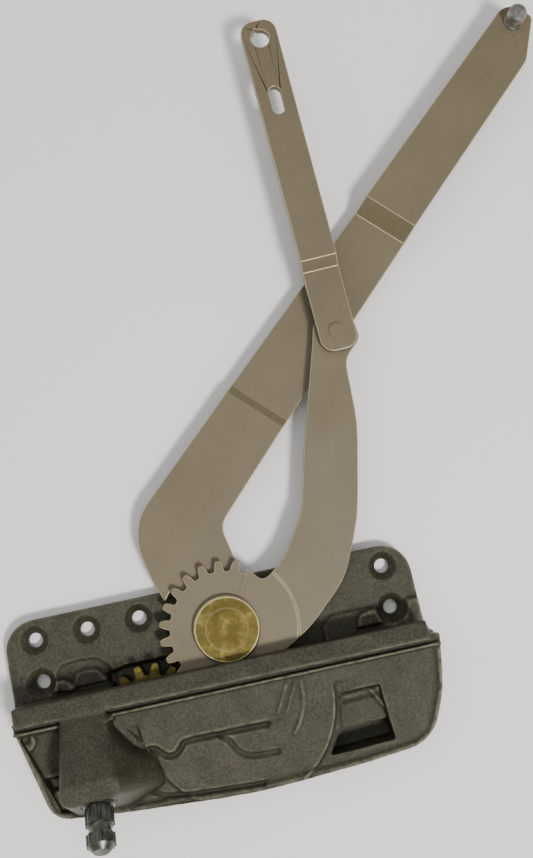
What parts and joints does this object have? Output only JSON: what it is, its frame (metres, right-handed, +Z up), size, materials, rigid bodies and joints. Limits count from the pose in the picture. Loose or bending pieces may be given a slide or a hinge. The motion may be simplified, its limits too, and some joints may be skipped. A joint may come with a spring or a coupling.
{
  "type": "casement window operator",
  "caption": "Dual-arm casement window operator: die-cast housing with worm and crank stub, geared long and short steel arms on a brass pivot, and a riveted drag link.",
  "frame": {"origin": "on the common pivot axis of the two arms, in the plane of the flat underside of the housing", "axes": "+Z up from the window sill, +Y to the outside of the window where the arms reach, +X along the sill away from the crank"},
  "size_m": [0.2247, 0.2592, 0.0396],
  "materials": {
    "cast_zinc": "grainy baked dark bronze coat on a die casting",
    "arm_coat": "satin tan powder coat",
    "brass": "brushed and lightly scratched",
    "bronze": "plain sintered",
    "steel": "turned",
    "shaft_steel": "dark plated",
    "nylon": "natural"
  },
  "bodies": {
    "base": {"housing": "cast_zinc", "pivot_post": "brass", "post_bushing": "bronze", "arm_lower_washer": "nylon", "arm_middle_washer": "nylon", "arm_upper_washer": "nylon", "idler_pin": "steel", "idler_lower_washer": "nylon", "idler_upper_washer": "nylon", "worm_thrust_washer": "steel", "worm_end_bearing": "bronze", "shaft_bushing": "shaft_steel"},
    "long_arm_body": {"long_arm": "arm_coat", "track_stud": "steel", "stud_collar": "steel"},
    "short_arm_body": {"short_arm": "arm_coat", "link_rivet": "arm_coat", "link_washer": "nylon"},
    "link_body": {"drag_link": "arm_coat"},
    "idler_body": {"idler_gear": "brass", "idler_bushing": "bronze"},
    "crank_body": {"crank_shaft": "shaft_steel", "worm": "steel", "shaft_snap_ring": "steel"}
  },
  "joints": [
    {"name": "long_arm_swing", "type": "hinge", "parent": "base", "child": "long_arm_body", "pos_m": [0, 0, 0], "axis": [0, 0, 1], "range_deg": [-40, 45]},
    {"name": "short_arm_swing", "type": "hinge", "parent": "base", "child": "short_arm_body", "pos_m": [0, 0, 0], "axis": [0, 0, 1], "range_deg": [-41, 46]},
    {"name": "idler_spin", "type": "hinge", "parent": "base", "child": "idler_body", "pos_m": [-0.02885, -0.02166, 0], "axis": [0, 0, 1], "range_deg": [-66, 59]},
    {"name": "crank_turn", "type": "hinge", "parent": "base", "child": "crank_body", "pos_m": [-0.0494, -0.02166, 0.01089], "axis": [0, -0.788, 0.6157], "range_deg": [-930, 1045]},
    {"name": "link_swing", "type": "hinge", "parent": "short_arm_body", "child": "link_body", "pos_m": [0.05688, 0.09015, 0.013], "axis": [0, 0, 1], "range_deg": [-140, 100]}
  ],
  "couplings": [
    {"joint": "short_arm_swing", "follows": "long_arm_swing", "ratio": 1},
    {"joint": "idler_spin", "follows": "long_arm_swing", "ratio": -1.4375},
    {"joint": "crank_turn", "follows": "long_arm_swing", "ratio": 23}
  ]
}
